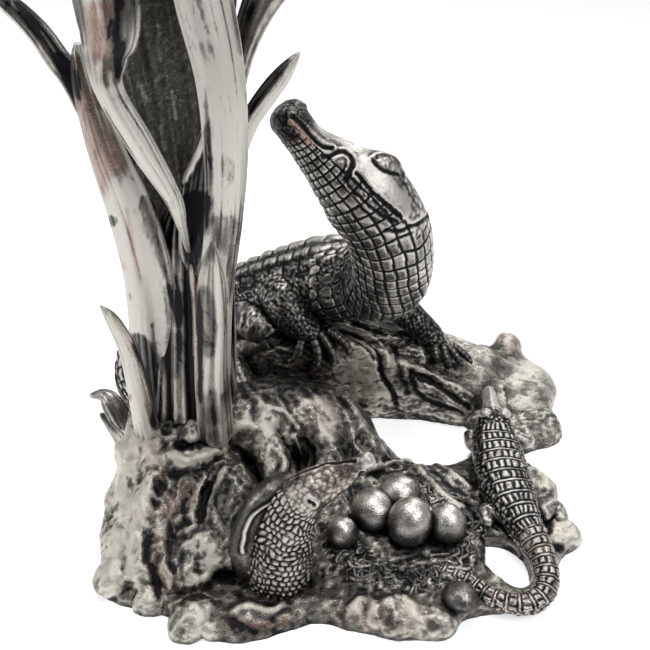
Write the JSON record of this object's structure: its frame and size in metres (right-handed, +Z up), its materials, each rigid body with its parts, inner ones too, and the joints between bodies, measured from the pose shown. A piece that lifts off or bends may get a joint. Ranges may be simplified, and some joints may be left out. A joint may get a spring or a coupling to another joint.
{
  "type": "crocodile sculpture",
  "caption": "Cast silver table sculpture of a crocodile on a river bank beside a leafy plant, looking back over its nest of eggs and hatchlings.",
  "frame": {"origin": "on the flat underside, near the middle of the base", "axes": "+Z up, -Y towards the viewer and the nest, +X to the viewer's right"},
  "size_m": [0.2488, 0.2107, 0.3001],
  "materials": {
    "antique_silver": "worn antique silver plate, dark in the recesses and bright on the edges, with a faint copper blush"
  },
  "bodies": {
    "root": {"crocodile_sculpture": "antique_silver"}
  },
  "joints": []
}
